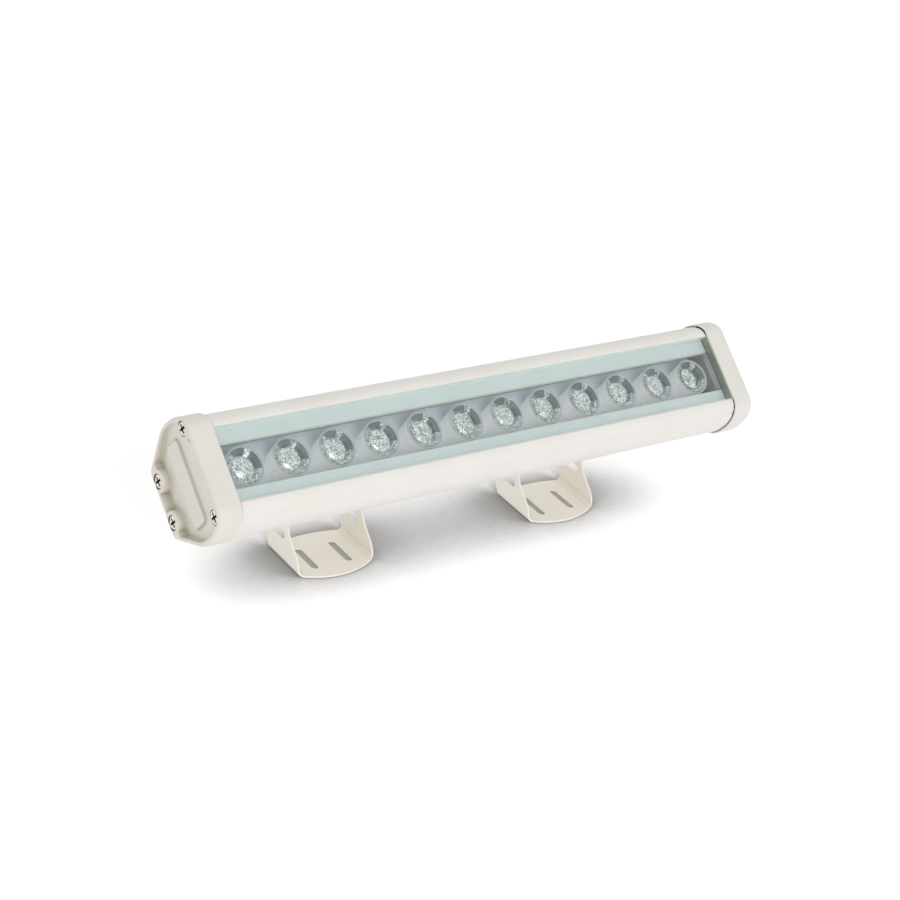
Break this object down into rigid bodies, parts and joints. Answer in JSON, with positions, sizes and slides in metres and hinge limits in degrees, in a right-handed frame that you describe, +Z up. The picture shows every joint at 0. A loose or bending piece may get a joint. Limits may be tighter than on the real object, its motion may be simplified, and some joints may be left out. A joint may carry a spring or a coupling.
{
  "type": "wall washer light",
  "caption": "Linear LED wall washer: aluminium bar with a flat glass front over a row of lenses, end caps, and brackets that tilt and slide along its back.",
  "frame": {"origin": "on the floor, in the middle of the whole object's footprint", "axes": "+X along the bar towards its end with the cable gland, +Y from the lit side to the back, +Z up; both feet stand on z = 0"},
  "size_m": [0.3403, 0.0629, 0.0923],
  "materials": {
    "housing": "cream powder coat, satin",
    "end_cap": "cream powder coat on a die casting, satin",
    "bracket": "beige powder coat on folded sheet steel",
    "front_glass": "clear tempered float glass, green at the edges",
    "lens_acrylic": "clear moulded acrylic",
    "emitter": "white package with a yellow phosphor",
    "led_board": "white solder mask",
    "driver_board": "green solder mask",
    "driver_part": "black sleeve and tape",
    "white_silicone": "white silicone",
    "black_rubber": "black, matt",
    "cap_screw": "bright stainless steel",
    "zinc_fastener": "zinc-plated steel",
    "gland": "black nylon"
  },
  "bodies": {
    "left_foot": {"left_base_bracket": "bracket", "left_pivot_bolt": "zinc_fastener", "left_pivot_nut": "zinc_fastener"},
    "left_carrier": {"left_saddle": "bracket", "left_rail_bolt": "zinc_fastener", "left_rail_nut": "zinc_fastener"},
    "lamp": {"housing": "housing", "front_glass": "front_glass", "glass_seal_upper": "white_silicone", "glass_seal_lower": "white_silicone", "led_board": "led_board", "led_01": "emitter", "led_02": "emitter", "led_03": "emitter", "led_04": "emitter", "led_05": "emitter", "led_06": "emitter", "led_07": "emitter", "led_08": "emitter", "led_09": "emitter", "led_10": "emitter", "led_11": "emitter", "led_12": "emitter", "lens_01": "lens_acrylic", "lens_02": "lens_acrylic", "lens_03": "lens_acrylic", "lens_04": "lens_acrylic", "lens_05": "lens_acrylic", "lens_06": "lens_acrylic", "lens_07": "lens_acrylic", "lens_08": "lens_acrylic", "lens_09": "lens_acrylic", "lens_10": "lens_acrylic", "lens_11": "lens_acrylic", "lens_12": "lens_acrylic", "driver_board": "driver_board", "driver_transformer": "driver_part", "driver_capacitor": "driver_part", "left_end_cap": "end_cap", "right_end_cap": "end_cap", "left_cap_gasket": "black_rubber", "right_cap_gasket": "black_rubber", "left_cap_screw_1": "cap_screw", "left_cap_screw_2": "cap_screw", "left_cap_screw_3": "cap_screw", "left_cap_screw_4": "cap_screw", "right_cap_screw_1": "cap_screw", "right_cap_screw_2": "cap_screw", "right_cap_screw_3": "cap_screw", "right_cap_screw_4": "cap_screw", "gland_body": "gland", "gland_nut": "gland", "gland_seal": "black_rubber"},
    "right_carrier": {"right_saddle": "bracket", "right_rail_bolt": "zinc_fastener", "right_rail_nut": "zinc_fastener"},
    "right_foot": {"right_base_bracket": "bracket", "right_pivot_bolt": "zinc_fastener", "right_pivot_nut": "zinc_fastener"}
  },
  "joints": [
    {"name": "tilt", "type": "hinge", "parent": "left_foot", "child": "left_carrier", "pos_m": [-0.0778, 0.022, 0.0323], "axis": [1, 0, 0], "range_deg": [-115, 45]},
    {"name": "left_bracket_slide", "type": "slide", "parent": "left_carrier", "child": "lamp", "axis": [1, 0, 0], "range_m": [-0.042, 0.055]},
    {"name": "right_bracket_slide", "type": "slide", "parent": "lamp", "child": "right_carrier", "axis": [1, 0, 0], "range_m": [-0.042, 0.055]},
    {"name": "right_tilt", "type": "hinge", "parent": "right_carrier", "child": "right_foot", "pos_m": [0.0642, 0.022, 0.0323], "axis": [1, 0, 0], "range_deg": [-45, 115]}
  ],
  "couplings": [
    {"joint": "right_tilt", "follows": "tilt", "ratio": -1}
  ]
}
